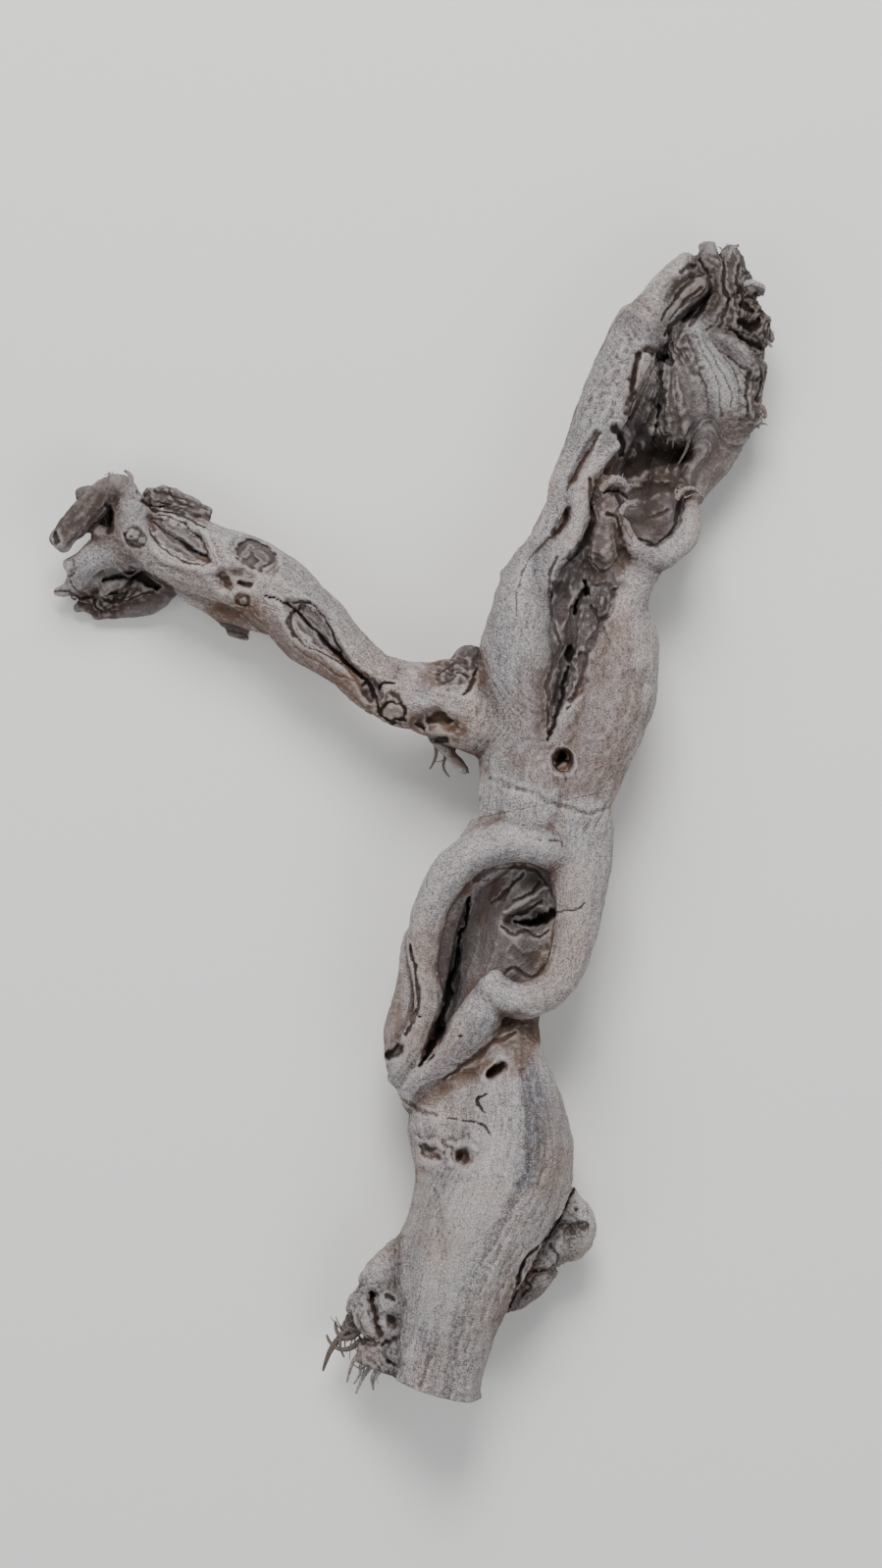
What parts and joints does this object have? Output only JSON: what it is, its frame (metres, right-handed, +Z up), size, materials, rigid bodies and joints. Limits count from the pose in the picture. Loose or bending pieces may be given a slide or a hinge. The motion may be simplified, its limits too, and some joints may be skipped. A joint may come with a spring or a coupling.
{
  "type": "sandblasted grapevine wood",
  "caption": "Twisted length of sandblasted old vine wood with a looping trunk, a hollow upper limb and a knotty side arm, for perches, tanks and displays.",
  "frame": {"origin": "centre of the outline seen from above, on the surface that the wood lies on", "axes": "+Z up from the surface it lies on, +Y from the sawn butt to the torn head, +X away from the side arm"},
  "size_m": [0.3692, 0.5904, 0.0804],
  "materials": {
    "sandblasted_vine": "bare weathered vine wood, sandblasted until its fibres and pits stand out, matt"
  },
  "bodies": {
    "root": {"trunk": "sandblasted_vine", "upper_limb": "sandblasted_vine", "side_arm": "sandblasted_vine"}
  },
  "joints": []
}
